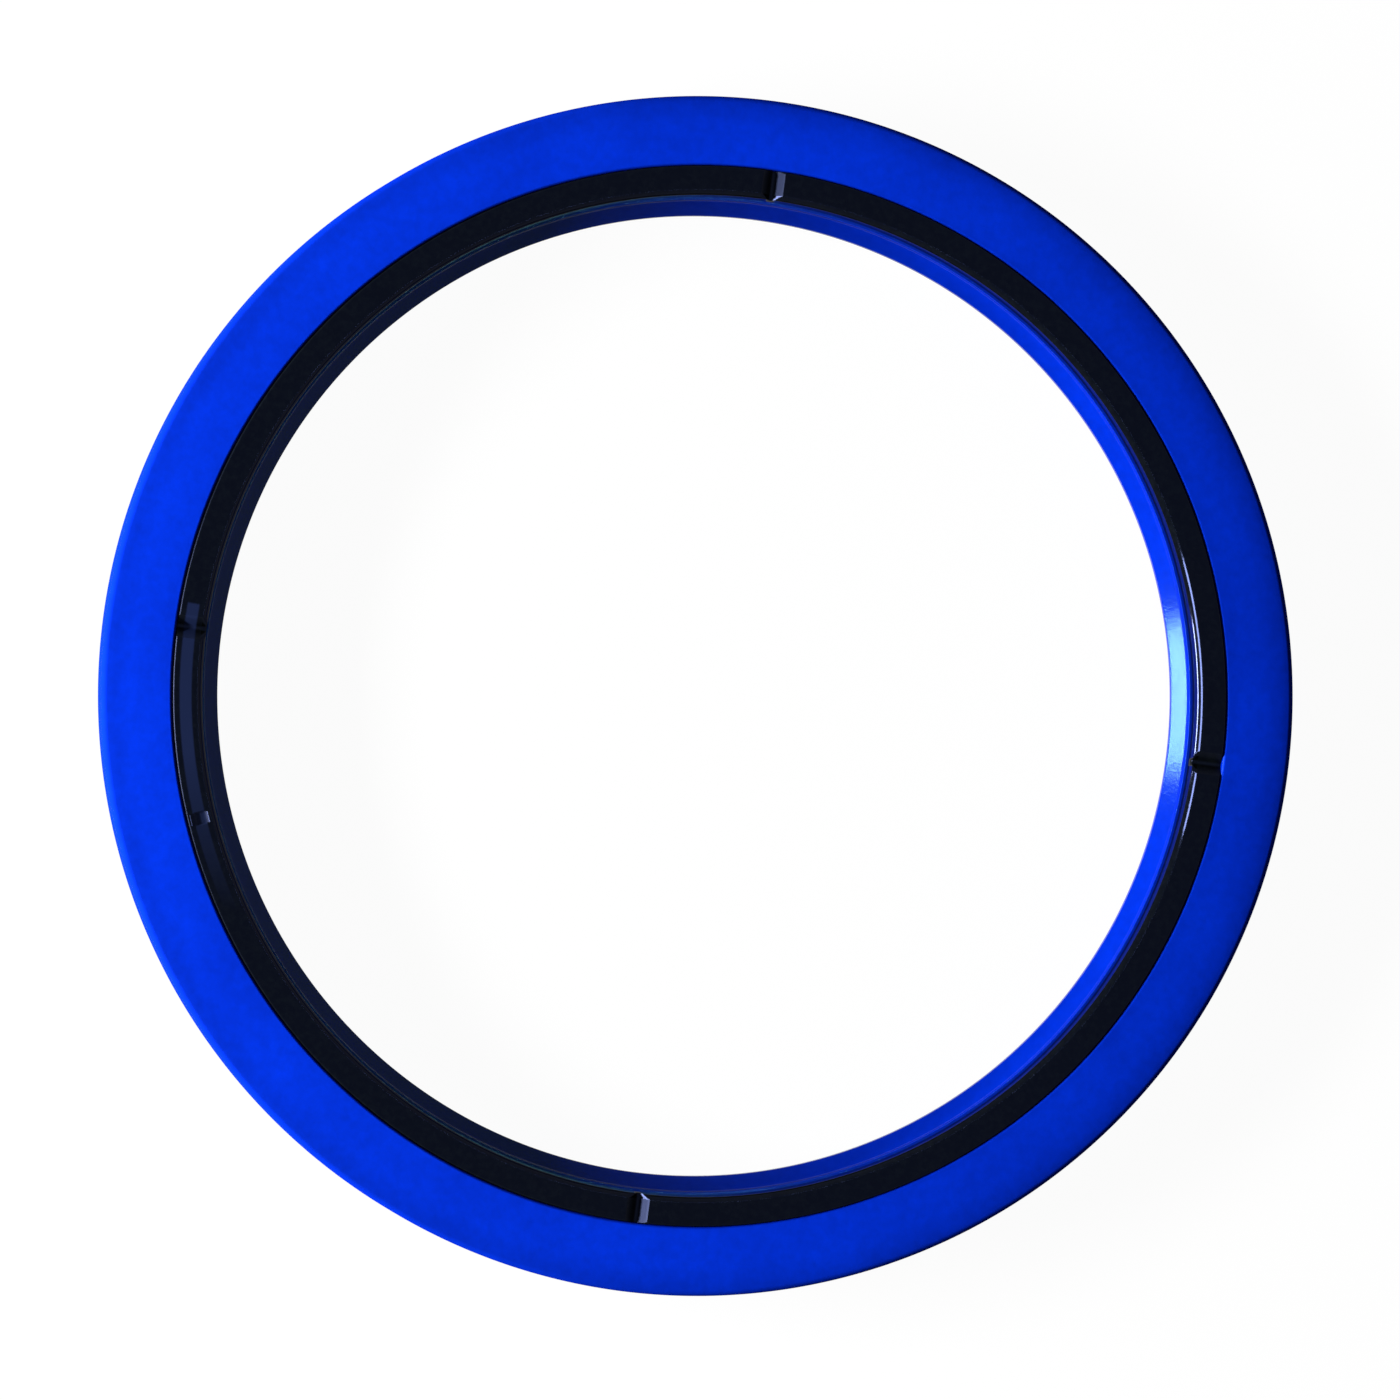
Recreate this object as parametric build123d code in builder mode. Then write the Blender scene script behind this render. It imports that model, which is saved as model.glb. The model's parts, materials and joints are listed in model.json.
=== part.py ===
# Rod buffer seal: a polyurethane U-section ring with a hard backup ring let into its heel.
# The seal lies flat with its lips down and its heel up. The rod runs along +Z.
# The origin is on the seal's axis, in the plane that the outer lip rests on.

import os
from math import cos, radians, sin, tan

from build123d import *

os.makedirs("parts", exist_ok=True)

# Rod and housing that the seal is made for
rod_diameter = 75.0
section_width = 7.75
seal_height = 5.8

# Backup ring and the recess it sits in
ring_thickness = 2.15
ring_width = 2.2
ring_rod_gap = 0.25
ring_recess_gap = 0.04
ring_bore_chamfer = 0.38
ring_rim_chamfer = 0.18

# Vent notches across the face of the backup ring
notch_count = 4
notch_width = 1.7
notch_depth = 0.7
notch_root_radius = 0.25

# Small square dimple that the mould leaves in the face of the backup ring
dimple_side = 0.9
dimple_depth = 0.14
dimple_bearing = 201.1

# Heel of the seal body
heel_setback = 0.08
heel_fall = 0.2
shoulder_radius = 0.5
recess_rim_chamfer = 0.2
recess_floor_lap = 0.2
throat_depth = 0.8

# Inner lip, which wipes the rod
lip_squeeze = 1.0
lip_land_height = 1.15
lip_land_length = 0.5
lip_bevel_angle = 50.0
lip_setback = 0.3

# Outer lip, which seals in the housing
lip_flare = 0.2
flare_foot_height = 2.6
flare_edge_height = 0.95
outer_tip_angle = 32.0

# U-groove between the lips
web_thickness = 0.95
groove_root_radius = 0.8
groove_flank_angle = 30.0

# Radii and heights that follow from the sizes above
rod_radius = rod_diameter / 2
housing_radius = rod_radius + section_width
ring_bore_radius = rod_radius + ring_rod_gap
ring_rim_radius = ring_bore_radius + ring_width
recess_radius = ring_rim_radius + ring_recess_gap
recess_floor = seal_height - ring_thickness
heel_height = seal_height - heel_setback
throat_radius = ring_bore_radius - recess_floor_lap
throat_foot = recess_floor - throat_depth
lip_radius = rod_radius - lip_squeeze
lip_land_top = lip_land_height + lip_land_length
flare_radius = housing_radius + lip_flare

# The groove's root is an arc, and each flank leaves it along a tangent
groove_radius = (lip_radius + flare_radius) / 2
groove_root = recess_floor - web_thickness
root_centre_height = groove_root - groove_root_radius
flank_top = root_centre_height + groove_root_radius * sin(radians(groove_flank_angle))
flank_half_width = groove_root_radius * cos(radians(groove_flank_angle))
flank_slope = tan(radians(groove_flank_angle))
inner_mouth = groove_radius - flank_half_width - (flank_top - lip_setback) * flank_slope
outer_mouth = groove_radius + flank_half_width + flank_top * flank_slope

# The lips' tips are narrowed by bevels
bevel_run = (lip_land_height - lip_setback) * tan(radians(lip_bevel_angle))
outer_tip_run = flare_edge_height * tan(radians(outer_tip_angle))


def corner(section, place):
    """The corner of a section that lies nearest to a place."""
    return section.vertices().sort_by_distance(place)[0]


# Seal body: one revolved section, drawn from the recess round the heel and the lips
with BuildPart() as seal_body:
    with BuildSketch(Plane.XZ) as body_section:
        with BuildLine() as body_outline:
            heel = TangentArc(
                (recess_radius, heel_height),
                (housing_radius, heel_height - heel_fall),
                tangent=(1, 0),
            )
            wall = Line(heel @ 1, (housing_radius, flare_foot_height))
            flare = Line(wall @ 1, (flare_radius, flare_edge_height))
            outer_bevel = Line(flare @ 1, (flare_radius - outer_tip_run, 0))
            outer_tip = Line(outer_bevel @ 1, (outer_mouth, 0))
            outer_flank = Line(outer_tip @ 1, (groove_radius + flank_half_width, flank_top))
            groove_arc = ThreePointArc(
                outer_flank @ 1,
                (groove_radius, groove_root),
                (groove_radius - flank_half_width, flank_top),
            )
            inner_flank = Line(groove_arc @ 1, (inner_mouth, lip_setback))
            inner_tip = Line(inner_flank @ 1, (lip_radius + bevel_run, lip_setback))
            inner_bevel = Line(inner_tip @ 1, (lip_radius, lip_land_height))
            lip_land = Line(inner_bevel @ 1, (lip_radius, lip_land_top))
            lip_cone = Line(lip_land @ 1, (throat_radius, throat_foot))
            throat = Line(lip_cone @ 1, (throat_radius, recess_floor))
            seat = Line(throat @ 1, (recess_radius, recess_floor))
            Line(seat @ 1, heel @ 0)
        make_face()
        chamfer(corner(body_section, heel @ 0), recess_rim_chamfer)
        fillet(corner(body_section, heel @ 1), shoulder_radius)
    revolve(axis=Axis.Z)
seal_body.part.label = "seal_body"


# The space of one vent notch: a blunt V that runs straight out across the ring's face
with BuildPart() as vent_notch:
    with BuildSketch(Plane.YZ) as notch_section:
        with BuildLine():
            Polyline(
                (-notch_width / 2, seal_height),
                (0, seal_height - notch_depth),
                (notch_width / 2, seal_height),
                close=True,
            )
        make_face()
        notch_root = notch_section.vertices().sort_by(Axis.Y)[0]
        fillet(notch_root, notch_root_radius)
    extrude(amount=housing_radius)


# Backup ring: its foot rests on the recess floor, and its rim stands clear of the recess wall
with BuildPart() as backup_ring:
    with BuildSketch(Plane.XZ) as ring_section:
        with Locations((ring_bore_radius, recess_floor)):
            Rectangle(ring_width, ring_thickness, align=(Align.MIN, Align.MIN))
        chamfer(corner(ring_section, (ring_bore_radius, seal_height)), ring_bore_chamfer)
        chamfer(corner(ring_section, (ring_rim_radius, seal_height)), ring_rim_chamfer)
    revolve(axis=Axis.Z)
    with PolarLocations(0, notch_count):
        add(vent_notch.part, mode=Mode.SUBTRACT)
    with PolarLocations(ring_bore_radius + ring_width / 2, 1, start_angle=dimple_bearing):
        with Locations((0, 0, seal_height)):
            Box(
                dimple_side,
                dimple_side,
                dimple_depth,
                align=(Align.CENTER, Align.CENTER, Align.MAX),
                mode=Mode.SUBTRACT,
            )
backup_ring.part.label = "backup_ring"


export_step(seal_body.part, "parts/seal_body.step")
export_step(backup_ring.part, "parts/backup_ring.step")
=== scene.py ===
import json
import math

import bmesh
import bpy
import numpy as np
from mathutils import Matrix, Vector


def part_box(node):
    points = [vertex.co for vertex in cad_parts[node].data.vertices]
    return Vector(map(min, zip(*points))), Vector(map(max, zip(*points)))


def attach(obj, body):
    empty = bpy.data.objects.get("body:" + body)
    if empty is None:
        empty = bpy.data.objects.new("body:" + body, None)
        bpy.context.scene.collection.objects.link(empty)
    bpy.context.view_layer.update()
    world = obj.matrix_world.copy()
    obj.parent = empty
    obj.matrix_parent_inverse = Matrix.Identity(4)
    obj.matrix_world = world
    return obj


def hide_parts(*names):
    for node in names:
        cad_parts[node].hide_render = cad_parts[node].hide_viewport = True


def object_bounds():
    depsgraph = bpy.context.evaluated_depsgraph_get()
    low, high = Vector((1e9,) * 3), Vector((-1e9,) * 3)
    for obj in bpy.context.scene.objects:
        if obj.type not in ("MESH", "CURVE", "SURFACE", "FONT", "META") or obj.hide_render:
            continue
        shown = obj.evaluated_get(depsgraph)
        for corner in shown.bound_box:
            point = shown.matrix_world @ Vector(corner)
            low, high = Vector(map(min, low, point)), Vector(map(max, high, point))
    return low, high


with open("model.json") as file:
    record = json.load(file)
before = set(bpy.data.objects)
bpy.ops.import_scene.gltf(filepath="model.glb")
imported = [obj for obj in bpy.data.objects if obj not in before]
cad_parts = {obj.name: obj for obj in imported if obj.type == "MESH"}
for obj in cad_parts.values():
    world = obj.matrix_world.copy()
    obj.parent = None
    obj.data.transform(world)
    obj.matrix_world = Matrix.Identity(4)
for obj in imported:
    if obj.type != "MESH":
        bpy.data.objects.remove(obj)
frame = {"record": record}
cad_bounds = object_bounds()

MM = 0.001
mounts = {mount["name"]: mount for mount in frame["record"]["mounts"]}

# Sizes in millimetres that the frame gives
body_low, body_high = [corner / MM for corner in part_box("seal_body")]
ring_low, ring_high = [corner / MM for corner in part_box("backup_ring")]
lip_foot = body_low.z
seal_height = ring_high.z
recess_floor = ring_low.z
ring_rim_radius = ring_high.x
flare_radius = body_high.x
ring_bore_radius = mounts["backup_bore"]["dims"]["r_mm"]
housing_radius = mounts["housing_seat"]["dims"]["r_mm"]
lip_radius = mounts["rod_bore"]["dims"]["r_mm"]
lip_land_length = mounts["rod_bore"]["dims"]["length_mm"]
lip_land_height = mounts["rod_bore"]["pos_m"][2] / MM - lip_land_length / 2

# Sizes in millimetres of the heel, the recess, the lips and the groove
heel_setback = 0.08
heel_fall = 0.2
shoulder_radius = 0.5
ring_recess_gap = 0.04
recess_floor_lap = 0.2
throat_depth = 0.8
lip_bevel_angle = math.radians(50)
lip_setback = 0.3
flare_foot_height = 2.6
flare_edge_height = 0.95
outer_tip_angle = math.radians(32)
web_thickness = 0.95
groove_root_radius = 0.8
groove_flank_angle = math.radians(30)
recess_radius = ring_rim_radius + ring_recess_gap

# Rounds in millimetres of the body's edges
recess_rim_round = 0.2
flare_foot_round = 0.8
flare_edge_round = 0.4
lip_tip_round = 0.15
groove_mouth_round = 0.2
land_foot_round = 0.08
land_top_round = 0.12
throat_foot_round = 0.2
throat_top_round = 0.05

# Sizes in millimetres of the backup ring's edges, notches and dimple
ring_bore_chamfer = 0.38
chamfer_turn = math.radians(12)
chamfer_edge_round = 0.04
ring_rim_round = 0.18
ring_foot_round = 0.08
notch_count = 4
notch_width = 1.7
notch_depth = 0.7
notch_root_radius = 0.25
dimple_side = 0.9
dimple_depth = 0.14
dimple_bearing = math.radians(201.1)

# Fineness of the meshes
body_columns = 720
ring_columns = 360
corner_steps = 4
crown_steps = 10
shoulder_steps = 8
groove_steps = 14
chamfer_steps = 8

# How far the points that hold an edge stand from it, and how near the face a point counts as on it
edge_support = 0.02
face_margin = 0.01

# Points nearer than this, in metres, become one
merge_distance = 1e-7

# Columns of points at a notch and at the dimple, in millimetres to each side of its middle
notch_sides = [0, 0.06, 0.12, 0.2, 0.35, 0.5, 0.65, 0.78, 0.82, 0.845, 0.87, 0.93, 1.1]
dimple_wall_sides = [dimple_side / 2 - edge_support, dimple_side / 2 + edge_support]
dimple_sides = [0, 0.2, 0.4, *dimple_wall_sides, 0.55]
plain_column_gap = 0.3

# Blues of the body: the two that its clouds run between, and the tint of its sheen
deep_blue = (0.0, 0.024, 0.58)
bright_blue = (0.0, 0.029, 0.68)
blue_sheen = (0.3, 0.95, 1.0, 1.0)

# Painted shade: how much darker the blue is made within the recess's radius, and across a band at the
# outer rim
lip_shade = 0.5
rim_shade = 0.28
rim_width = 2.2
heel_edge = recess_radius + 0.01

# Blacks of the backup ring, the blue of a painted reflection on its face, and the tint of its sheen
deep_black = (0.0006, 0.001, 0.001)
pale_black = (0.002, 0.003, 0.003)
painted_reflection_blue = (0.008, 0.014, 0.048, 1)
black_sheen = (0.3, 0.4, 1.0, 1.0)

# Where the painted reflection lies on the backup ring's face, in millimetres
reflection_bearing = math.radians(177.3)
reflection_length = 22
reflection_start = 0.15
reflection_inner = 38.5
reflection_outer = 39.5
reflection_edge = 0.12

# Roughness of the surfaces: between two values with the grain or the flow, and one in the notches
lip_roughness = (0.12, 0.16)
heel_roughness = (0.8, 0.9)
gloss_roughness = (0.06, 0.09)
notch_roughness = 0.34

# Where the notches turn dull, in millimetres below the face, and how far outside the chamfer
dull_start = 0.005
dull_full = 0.03
dull_side = 0.02

# Strengths of the white that the camera and mirror rays see and of the room's light
paper_white = 0.96
room_light = 0.006

# The floor's own colour, and its half width and its gap under the seal in metres
paper_colour = (0.045, 0.045, 0.045, 1)
floor_half = 3.0
floor_gap = 0.00002

# The photograph's right and up, as directions in the part's frame
photo_turn = math.radians(7.6)
photo_right = Vector((math.cos(photo_turn), math.sin(photo_turn), 0))
photo_up = Vector((-math.sin(photo_turn), math.cos(photo_turn), 0))

# Camera: metres to the photograph's right, up it and above the floor, then millimetres of its optics
camera_place = (-0.050, 0, 0.420)
camera_target = (-0.00009, -0.0003, 0.003)
camera_sensor = 36
camera_lens = 142.5

# Lamps: name, place as the camera's, width and height in metres, and radiance
lamp_target = (0, 0, 0.003)
lamps = [
    ("low_strip", (-0.498, 0, 0.042), 0.17, 0.02, 370),
    ("main_lamp", (-0.652, 0, 0.254), 0.42, 0.08, 110),
    ("overhead", (0.071, 0, 0.6), 0.03, 0.03, 60),
]


def arc(centre, radius, start, end, steps):
    """Points of an arc of a section, with its angles in degrees."""
    angles = np.radians(np.linspace(start, end, steps + 1))
    return [(centre[0] + radius * math.cos(a), centre[1] + radius * math.sin(a)) for a in angles]


def crowned(start, end, turn, steps):
    """Points from start to end, on a shallow arc that bulges to the left and turns by an angle."""
    chord = Vector(end) - Vector(start)
    left = Vector((-chord.y, chord.x)).normalized()
    radius = chord.length / (2 * math.sin(turn / 2))
    centre = (Vector(start) + Vector(end)) / 2 - left * radius * math.cos(turn / 2)
    points = []
    for step in range(steps + 1):
        lean = turn * (step / steps - 0.5)
        along = left * math.cos(lean) + chord.normalized() * math.sin(lean)
        points.append(tuple(centre + along * radius))
    return points


def rounded(outline):
    """A closed outline of (radius, height, corner round), with each corner turned into an arc."""
    points = []
    for index, (r, z, round_radius) in enumerate(outline):
        here = Vector((r, z))
        if round_radius == 0:
            points.append(here)
            continue
        before = Vector(outline[index - 1][:2]) - here
        after = Vector(outline[(index + 1) % len(outline)][:2]) - here
        half_angle = before.angle(after) / 2
        reach = round_radius / math.tan(half_angle)
        bisector = (before.normalized() + after.normalized()).normalized()
        centre = here + bisector * round_radius / math.sin(half_angle)
        start = here + before.normalized() * reach
        end = here + after.normalized() * reach
        points.append(start + before.normalized() * edge_support)
        for step in range(corner_steps + 1):
            along = start.lerp(end, step / corner_steps) - centre
            points.append(centre + along.normalized() * round_radius)
        points.append(end + after.normalized() * edge_support)
    return [(point.x, point.y) for point in points]


def smooth_mesh(name, grid):
    """A closed piece from points in millimetres, in columns that each go once round the section."""
    columns, count = grid.shape[:2]
    corners = np.arange(columns * count).reshape(columns, count)
    following = np.roll(corners, -1, axis=0)
    faces = np.stack(
        [corners, np.roll(corners, -1, axis=1), np.roll(following, -1, axis=1), following], axis=-1
    )
    mesh = bpy.data.meshes.new(name)
    mesh.from_pydata((grid.reshape(-1, 3) * MM).tolist(), [], faces.reshape(-1, 4).tolist())
    solid = bmesh.new()
    solid.from_mesh(mesh)
    bmesh.ops.remove_doubles(solid, verts=solid.verts, dist=merge_distance)
    bmesh.ops.dissolve_degenerate(solid, edges=solid.edges, dist=merge_distance)
    bmesh.ops.recalc_face_normals(solid, faces=solid.faces)
    solid.to_mesh(mesh)
    solid.free()
    mesh.shade_smooth()
    piece = bpy.data.objects.new(name, mesh)
    bpy.context.scene.collection.objects.link(piece)
    return piece


def body_outline():
    """The seal body's section, from the recess round the heel, the lips and the groove."""
    heel_height = seal_height - heel_setback
    crown_width = housing_radius - recess_radius
    crown_radius = (crown_width**2 + heel_fall**2) / (2 * heel_fall)
    crown_centre = (recess_radius, heel_height - crown_radius)
    shoulder_r = housing_radius - shoulder_radius
    shoulder_z = crown_centre[1] + math.sqrt(
        (crown_radius - shoulder_radius) ** 2 - (shoulder_r - recess_radius) ** 2
    )
    crown_end = math.degrees(math.atan2(shoulder_z - crown_centre[1], shoulder_r - recess_radius))
    crown = arc(crown_centre, crown_radius, 90, crown_end, crown_steps)
    shoulder = arc((shoulder_r, shoulder_z), shoulder_radius, crown_end, 0, shoulder_steps)

    groove_radius = (lip_radius + flare_radius) / 2
    groove_centre = (groove_radius, recess_floor - web_thickness - groove_root_radius)
    flank_degrees = math.degrees(groove_flank_angle)
    root = arc(groove_centre, groove_root_radius, flank_degrees, 180 - flank_degrees, groove_steps)
    flank_slope = math.tan(groove_flank_angle)
    outer_mouth = root[0][0] + (root[0][1] - lip_foot) * flank_slope
    inner_mouth = root[-1][0] - (root[-1][1] - lip_setback) * flank_slope

    bevel_run = (lip_land_height - lip_setback) * math.tan(lip_bevel_angle)
    outer_tip_run = flare_edge_height * math.tan(outer_tip_angle)
    throat_radius = ring_bore_radius - recess_floor_lap
    return rounded(
        [
            (recess_radius, recess_floor, 0),
            (recess_radius, heel_height, recess_rim_round),
            *[(r, z, 0) for r, z in crown[1:]],
            *[(r, z, 0) for r, z in shoulder[1:]],
            (housing_radius, flare_foot_height, flare_foot_round),
            (flare_radius, flare_edge_height, flare_edge_round),
            (flare_radius - outer_tip_run, lip_foot, lip_tip_round),
            (outer_mouth, lip_foot, groove_mouth_round),
            *[(r, z, 0) for r, z in root],
            (inner_mouth, lip_setback, groove_mouth_round),
            (lip_radius + bevel_run, lip_setback, lip_tip_round),
            (lip_radius, lip_land_height, land_foot_round),
            (lip_radius, lip_land_height + lip_land_length, land_top_round),
            (throat_radius, recess_floor - throat_depth, throat_foot_round),
            (throat_radius, recess_floor, throat_top_round),
        ]
    )


def make_body():
    """The polyurethane body, revolved from its section."""
    section = np.array(body_outline())
    angles = np.arange(body_columns) * math.tau / body_columns
    grid = np.empty((body_columns, len(section), 3))
    grid[:, :, 0] = np.cos(angles)[:, None] * section[:, 0]
    grid[:, :, 1] = np.sin(angles)[:, None] * section[:, 0]
    grid[:, :, 2] = section[:, 1]
    return smooth_mesh("polyurethane_body", grid)


def ring_section():
    """The backup ring's section, with points where the dimple's walls come."""
    middle = (ring_bore_radius + ring_rim_radius) / 2
    walls = sorted(middle + side * wall for side in (-1, 1) for wall in dimple_wall_sides)
    chamfer = crowned(
        (ring_bore_radius, seal_height - ring_bore_chamfer),
        (ring_bore_radius + ring_bore_chamfer, seal_height),
        chamfer_turn,
        chamfer_steps,
    )
    return rounded(
        [
            (ring_bore_radius, recess_floor, ring_foot_round),
            (*chamfer[0], chamfer_edge_round),
            *[(r, z, 0) for r, z in chamfer[1:-1]],
            (*chamfer[-1], chamfer_edge_round),
            *[(r, seal_height, 0) for r in walls],
            (ring_rim_radius, seal_height, ring_rim_round),
            (ring_rim_radius, recess_floor, ring_foot_round),
        ]
    )


def notch_floor(distance):
    """Height of a vent notch's blunt V at a distance from its middle line."""
    slope = notch_depth / (notch_width / 2)
    lean = math.atan(slope)
    bottom = seal_height - notch_depth
    if distance < notch_root_radius * math.sin(lean):
        fall = math.sqrt(notch_root_radius**2 - distance**2)
        return bottom + notch_root_radius / math.cos(lean) - fall
    return bottom + slope * distance


def arc_between(first, second):
    """Distance in millimetres between two bearings, along the ring's bore."""
    return abs((first - second + math.pi) % math.tau - math.pi) * ring_bore_radius


def ring_places():
    """Where the ring's columns stand, in order: (bearing, sideways distance from it, kind)."""
    features = [(math.tau * k / notch_count, notch_sides, "notch") for k in range(notch_count)]
    features.append((dimple_bearing, dimple_sides, "dimple"))
    places = []
    for bearing, sides, kind in features:
        for side in sorted(set(sides) | {-side for side in sides}):
            places.append((bearing, side, kind))
    for k in range(ring_columns):
        bearing = math.tau * (k + 0.5) / ring_columns
        if all(arc_between(bearing, at) > sides[-1] + plain_column_gap for at, sides, _ in features):
            places.append((bearing, 0, "plain"))
    return sorted(places, key=lambda place: place[0] + place[1] / ring_bore_radius)


def make_ring():
    """The backup ring, with its vent notches and its square dimple."""
    section = ring_section()
    middle = (ring_bore_radius + ring_rim_radius) / 2
    grid = []
    for bearing, side, kind in ring_places():
        column = []
        for r, z in section:
            turn = bearing + math.asin(side / r)
            if kind == "notch":
                z = min(z, notch_floor(abs(side)))
            on_face = z > seal_height - face_margin
            if kind == "dimple" and on_face and max(abs(side), abs(r - middle)) < dimple_side / 2:
                z -= dimple_depth
            column.append((r * math.cos(turn), r * math.sin(turn), z))
        grid.append(column)
    return smooth_mesh("backup_ring_fine", np.array(grid))


def shader(name):
    """A new node material, its tree and its main shader."""
    material = bpy.data.materials.new(name)
    material.use_nodes = True
    return material, material.node_tree, material.node_tree.nodes["Principled BSDF"]


def noise(tree, scale, detail, roughness=0.5):
    """The value of a noise texture on the object's own coordinates."""
    place = tree.nodes.new("ShaderNodeTexCoord")
    texture = tree.nodes.new("ShaderNodeTexNoise")
    texture.inputs["Scale"].default_value = scale
    texture.inputs["Detail"].default_value = detail
    texture.inputs["Roughness"].default_value = roughness
    tree.links.new(place.outputs["Object"], texture.inputs["Vector"])
    return texture.outputs["Fac"]


def ramp(tree, source, stops):
    """A colour that runs along a source value, with stops of (place, colour)."""
    node = tree.nodes.new("ShaderNodeValToRGB")
    for element, (place, colour) in zip(node.color_ramp.elements, stops):
        element.position = place
        element.color = (*colour, 1)
    tree.links.new(source, node.inputs["Fac"])
    return node.outputs["Color"]


def remap(tree, source, low, high):
    """A source value from 0 to 1 spread between two others."""
    node = tree.nodes.new("ShaderNodeMapRange")
    node.inputs["To Min"].default_value = low
    node.inputs["To Max"].default_value = high
    tree.links.new(source, node.inputs["Value"])
    return node.outputs["Result"]


def bump(tree, height, strength, distance):
    """The surface's direction with a height pressed into it."""
    node = tree.nodes.new("ShaderNodeBump")
    node.inputs["Strength"].default_value = strength
    node.inputs["Distance"].default_value = distance
    tree.links.new(height, node.inputs["Height"])
    return node.outputs["Normal"]


def distance_from_axis(tree):
    """The distance of a surface point from the seal's axis."""
    place = tree.nodes.new("ShaderNodeTexCoord")
    flat = tree.nodes.new("ShaderNodeVectorMath")
    flat.operation = "MULTIPLY"
    flat.inputs[1].default_value = (1, 1, 0)
    tree.links.new(place.outputs["Object"], flat.inputs[0])
    radius = tree.nodes.new("ShaderNodeVectorMath")
    radius.operation = "LENGTH"
    tree.links.new(flat.outputs["Vector"], radius.inputs[0])
    return radius.outputs["Value"]


def step_between(tree, value, start, end):
    """A value's way from start to end, as 0 to 1 and clamped. The places are in millimetres."""
    node = tree.nodes.new("ShaderNodeMapRange")
    node.inputs["From Min"].default_value = start * MM
    node.inputs["From Max"].default_value = end * MM
    tree.links.new(value, node.inputs["Value"])
    return node.outputs["Result"]


def product(tree, first, second):
    """The product of two values."""
    node = tree.nodes.new("ShaderNodeMath")
    node.operation = "MULTIPLY"
    tree.links.new(first, node.inputs[0])
    tree.links.new(second, node.inputs[1])
    return node.outputs["Value"]


def blend(tree, share, first, second):
    """A value between two others, by a share from 0 to 1. The second may be a plain number."""
    node = tree.nodes.new("ShaderNodeMix")
    tree.links.new(share, node.inputs["Factor"])
    tree.links.new(first, node.inputs["A"])
    if isinstance(second, float):
        node.inputs["B"].default_value = second
    else:
        tree.links.new(second, node.inputs["B"])
    return node.outputs["Result"]


def scaled(tree, colour, factor):
    """A colour made brighter or darker by a factor."""
    node = tree.nodes.new("ShaderNodeVectorMath")
    node.operation = "SCALE"
    tree.links.new(colour, node.inputs[0])
    tree.links.new(factor, node.inputs["Scale"])
    return node.outputs["Vector"]


def polyurethane():
    """Blue polyurethane: a matt heel and a smoother surface within the recess's radius, where the blue is
    darkened as painted shade, with more painted shade towards the outer rim.
    """
    material, tree, main = shader("polyurethane")
    radius = distance_from_axis(tree)
    at_heel = step_between(tree, radius, heel_edge, heel_edge + recess_rim_round)
    at_rim = step_between(tree, radius, housing_radius - rim_width, housing_radius)

    clouds = noise(tree, scale=120, detail=3)
    blue = ramp(tree, clouds, [(0.3, deep_blue), (0.7, bright_blue)])
    mottle = remap(tree, noise(tree, scale=1500, detail=3), low=0.8, high=1.2)
    # Painted shade: the blue is darkened inside the recess's radius and towards the outer rim
    lip_shade_factor = remap(tree, at_heel, low=1 - lip_shade, high=1)
    rim_shade_factor = remap(tree, at_rim, low=1, high=1 - rim_shade)
    factor = product(tree, product(tree, lip_shade_factor, rim_shade_factor), mottle)
    tree.links.new(scaled(tree, blue, factor), main.inputs["Base Color"])

    grain = noise(tree, scale=4200, detail=2, roughness=0.6)
    smooth = remap(tree, grain, *lip_roughness)
    matt = remap(tree, grain, *heel_roughness)
    tree.links.new(blend(tree, at_heel, smooth, matt), main.inputs["Roughness"])
    tree.links.new(bump(tree, grain, strength=0.2, distance=0.00003), main.inputs["Normal"])
    main.inputs["Specular IOR Level"].default_value = 0.06
    main.inputs["Specular Tint"].default_value = blue_sheen
    return material


def painted_reflection_share(tree):
    """Where a painted reflection makes the backup ring's face bluish: from a sharp start beside a notch,
    fading along the arc.
    """
    place = tree.nodes.new("ShaderNodeTexCoord")
    turned = tree.nodes.new("ShaderNodeVectorRotate")
    turned.rotation_type = "Z_AXIS"
    turned.inputs["Angle"].default_value = -reflection_bearing
    tree.links.new(place.outputs["Object"], turned.inputs["Vector"])
    parts = tree.nodes.new("ShaderNodeSeparateXYZ")
    tree.links.new(turned.outputs["Vector"], parts.inputs["Vector"])
    start = step_between(tree, parts.outputs["Y"], 0, reflection_start)
    fade = step_between(tree, parts.outputs["Y"], reflection_length, reflection_length / 2)
    near_side = step_between(tree, parts.outputs["X"], 0, 1)
    radius = distance_from_axis(tree)
    inner = step_between(tree, radius, reflection_inner, reflection_inner + reflection_edge)
    outer = step_between(tree, radius, reflection_outer, reflection_outer - reflection_edge)
    along = product(tree, product(tree, start, fade), near_side)
    return product(tree, along, product(tree, inner, outer))


def notch_share(tree):
    """Where the backup ring is duller: below its face, outside its bore and chamfer."""
    place = tree.nodes.new("ShaderNodeTexCoord")
    parts = tree.nodes.new("ShaderNodeSeparateXYZ")
    tree.links.new(place.outputs["Object"], parts.inputs["Vector"])
    height = parts.outputs["Z"]
    below_face = step_between(tree, height, seal_height - dull_start, seal_height - dull_full)
    chamfer_rim = ring_bore_radius + ring_bore_chamfer
    off_bore = step_between(tree, distance_from_axis(tree), chamfer_rim, chamfer_rim + dull_side)
    return product(tree, below_face, off_bore)


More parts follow.
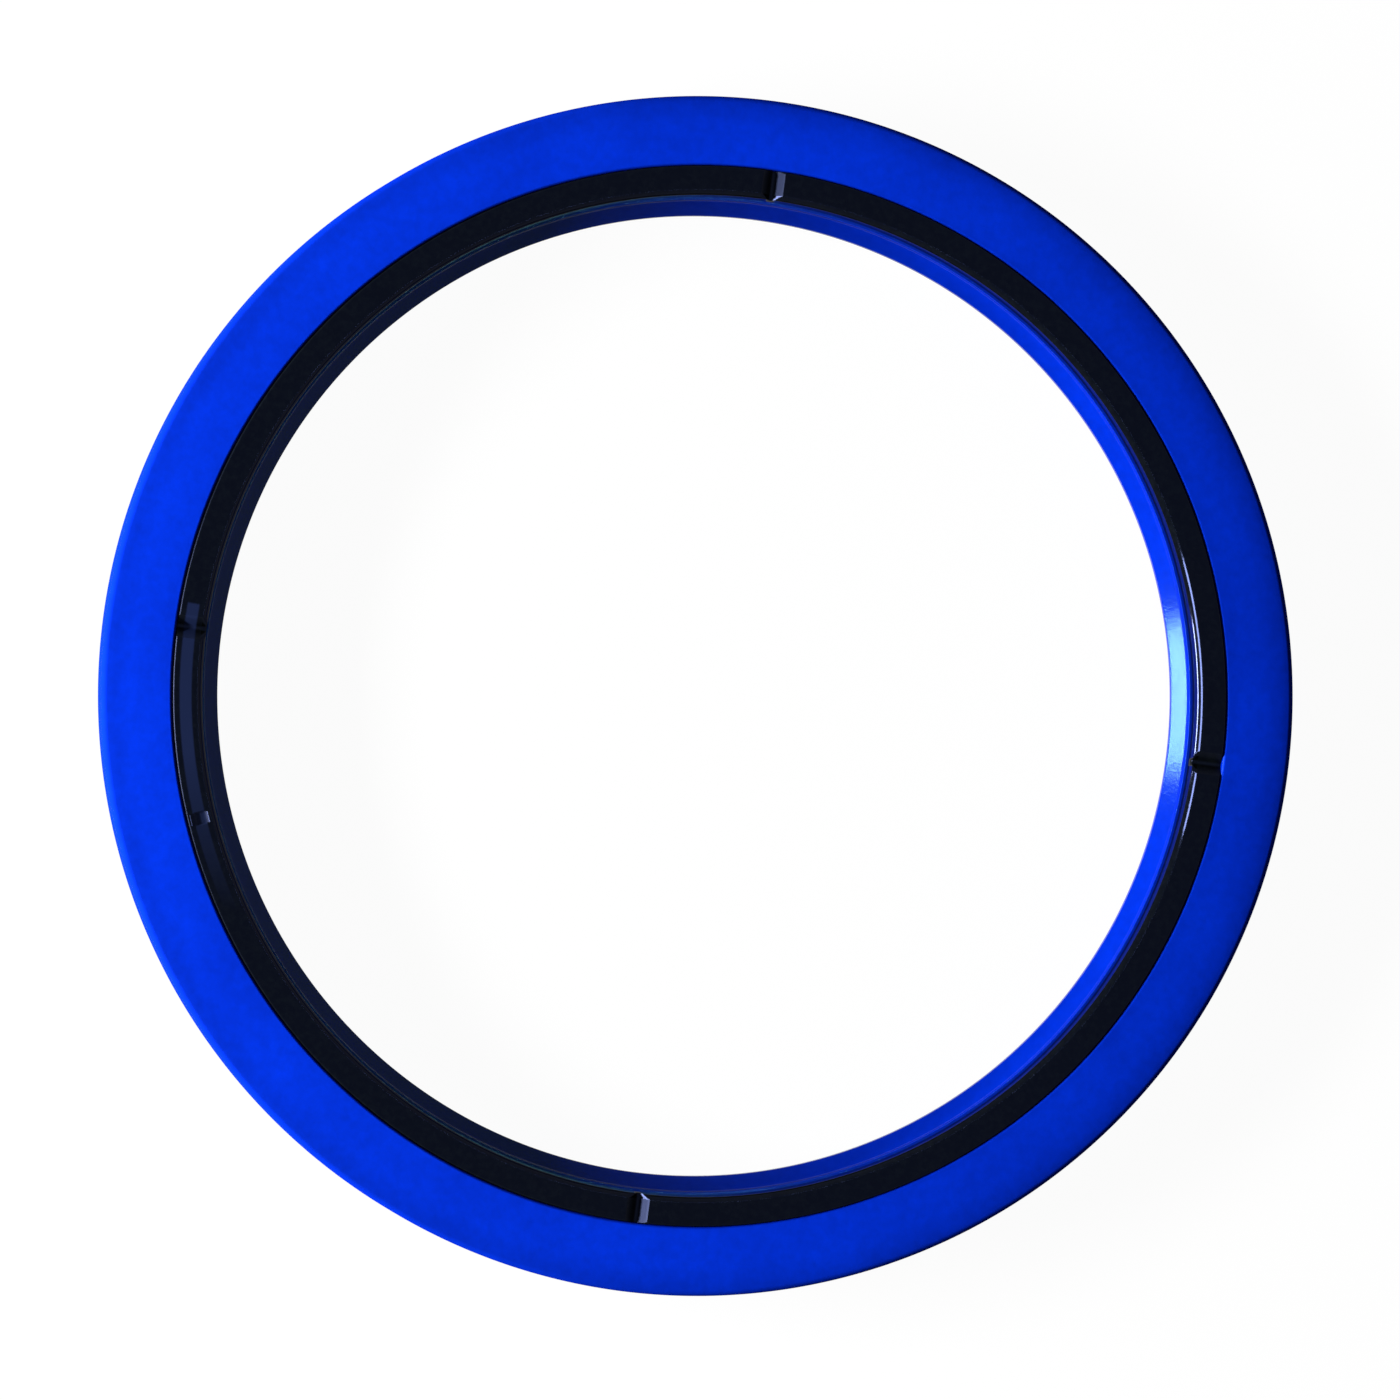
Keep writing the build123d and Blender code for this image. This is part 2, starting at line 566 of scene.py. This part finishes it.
def backup_plastic():
    """Glossy black polyamide with flow marks, a painted reflection as a bluish band beside one notch, and
    duller notches.
    """
    material, tree, main = shader("backup_plastic")
    specks = noise(tree, scale=2500, detail=2)
    black = ramp(tree, specks, [(0.4, deep_black), (0.8, pale_black)])
    # Painted reflection: a bluish band mixed into the black of the face
    reflection_mix = tree.nodes.new("ShaderNodeMix")
    reflection_mix.data_type = "RGBA"
    reflection_mix.inputs["B"].default_value = painted_reflection_blue
    tree.links.new(black, reflection_mix.inputs["A"])
    tree.links.new(painted_reflection_share(tree), reflection_mix.inputs["Factor"])
    tree.links.new(reflection_mix.outputs["Result"], main.inputs["Base Color"])

    gloss = remap(tree, noise(tree, scale=500, detail=3), *gloss_roughness)
    tree.links.new(blend(tree, notch_share(tree), gloss, notch_roughness), main.inputs["Roughness"])
    tree.links.new(bump(tree, specks, strength=0.08, distance=0.00002), main.inputs["Normal"])
    main.inputs["Specular IOR Level"].default_value = 0.12
    main.inputs["Specular Tint"].default_value = black_sheen
    return material


def seen_rays(tree):
    """1 for camera, glossy and transmission rays, 0 for the rays that light the seal."""
    rays = tree.nodes.new("ShaderNodeLightPath")
    total = rays.outputs["Is Camera Ray"]
    for kind in ("Is Glossy Ray", "Is Transmission Ray"):
        node = tree.nodes.new("ShaderNodeMath")
        node.operation = "ADD"
        node.use_clamp = True
        tree.links.new(total, node.inputs[0])
        tree.links.new(rays.outputs[kind], node.inputs[1])
        total = node.outputs["Value"]
    return total


def paper():
    """White floor: the camera and mirror rays see it white, and it keeps the seal's shadow."""
    material, tree, main = shader("paper")
    main.inputs["Base Color"].default_value = paper_colour
    main.inputs["Roughness"].default_value = 0.9
    main.inputs["Specular IOR Level"].default_value = 0
    main.inputs["Emission Color"].default_value = (1, 1, 1, 1)
    strength = remap(tree, seen_rays(tree), low=0, high=paper_white)
    tree.links.new(strength, main.inputs["Emission Strength"])
    return material


def make_floor():
    """A wide floor, just under the height that the seal rests on."""
    height = cad_bounds[0][2] - floor_gap
    signs = [(-1, -1), (1, -1), (1, 1), (-1, 1)]
    corners = [(floor_half * x, floor_half * y, height) for x, y in signs]
    mesh = bpy.data.meshes.new("floor")
    mesh.from_pydata(corners, [], [(0, 1, 2, 3)])
    floor = bpy.data.objects.new("floor", mesh)
    floor.data.materials.append(paper())
    bpy.context.scene.collection.objects.link(floor)


def make_room():
    """A dim room, which the camera and mirror rays see as white as the floor."""
    world = bpy.data.worlds.new("room")
    bpy.context.scene.world = world
    world.use_nodes = True
    tree = world.node_tree
    background = tree.nodes["Background"]
    background.inputs["Color"].default_value = (1, 1, 1, 1)
    strength = remap(tree, seen_rays(tree), low=room_light, high=paper_white)
    tree.links.new(strength, background.inputs["Strength"])


def placed(right, up, height):
    """A place in the part's frame, from metres to the photograph's right, up it and above the floor."""
    return photo_right * right + photo_up * up + Vector((0, 0, height))


def aim(thing, target, upward):
    """Turns a camera or lamp to look at a target, with a direction kept upward in its view."""
    back = (thing.location - target).normalized()
    side = upward.cross(back).normalized()
    top = back.cross(side)
    thing.rotation_euler = Matrix((side, top, back)).transposed().to_euler()


def area_lamp(name, place, width, height, radiance):
    """A rectangular soft lamp of a given radiance, aimed at the seal."""
    data = bpy.data.lights.new(name, "AREA")
    data.shape = "RECTANGLE"
    data.size = width
    data.size_y = height
    data.energy = radiance * math.pi * width * height
    lamp = bpy.data.objects.new(name, data)
    bpy.context.scene.collection.objects.link(lamp)
    lamp.location = place
    aim(lamp, placed(*lamp_target), Vector((0, 0, 1)))


def make_lights():
    """A low strip and a soft lamp above it to the photograph's left, and a dim overhead lamp."""
    for name, place, width, height, radiance in lamps:
        area_lamp(name, placed(*place), width, height, radiance)


def make_camera():
    """The camera, at the photograph's angle: above the seal and a little to its left."""
    data = bpy.data.cameras.new("photo_camera")
    data.sensor_width = camera_sensor
    data.lens = camera_lens
    camera = bpy.data.objects.new("photo_camera", data)
    bpy.context.scene.collection.objects.link(camera)
    camera.location = placed(*camera_place)
    aim(camera, placed(*camera_target), photo_up)
    bpy.context.scene.camera = camera


body = make_body()
body.data.materials.append(polyurethane())
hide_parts("seal_body")
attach(body, "root")

ring = make_ring()
ring.data.materials.append(backup_plastic())
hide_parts("backup_ring")
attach(ring, "root")

make_floor()
make_room()
make_lights()
make_camera()
bpy.context.scene.view_settings.view_transform = "Standard"
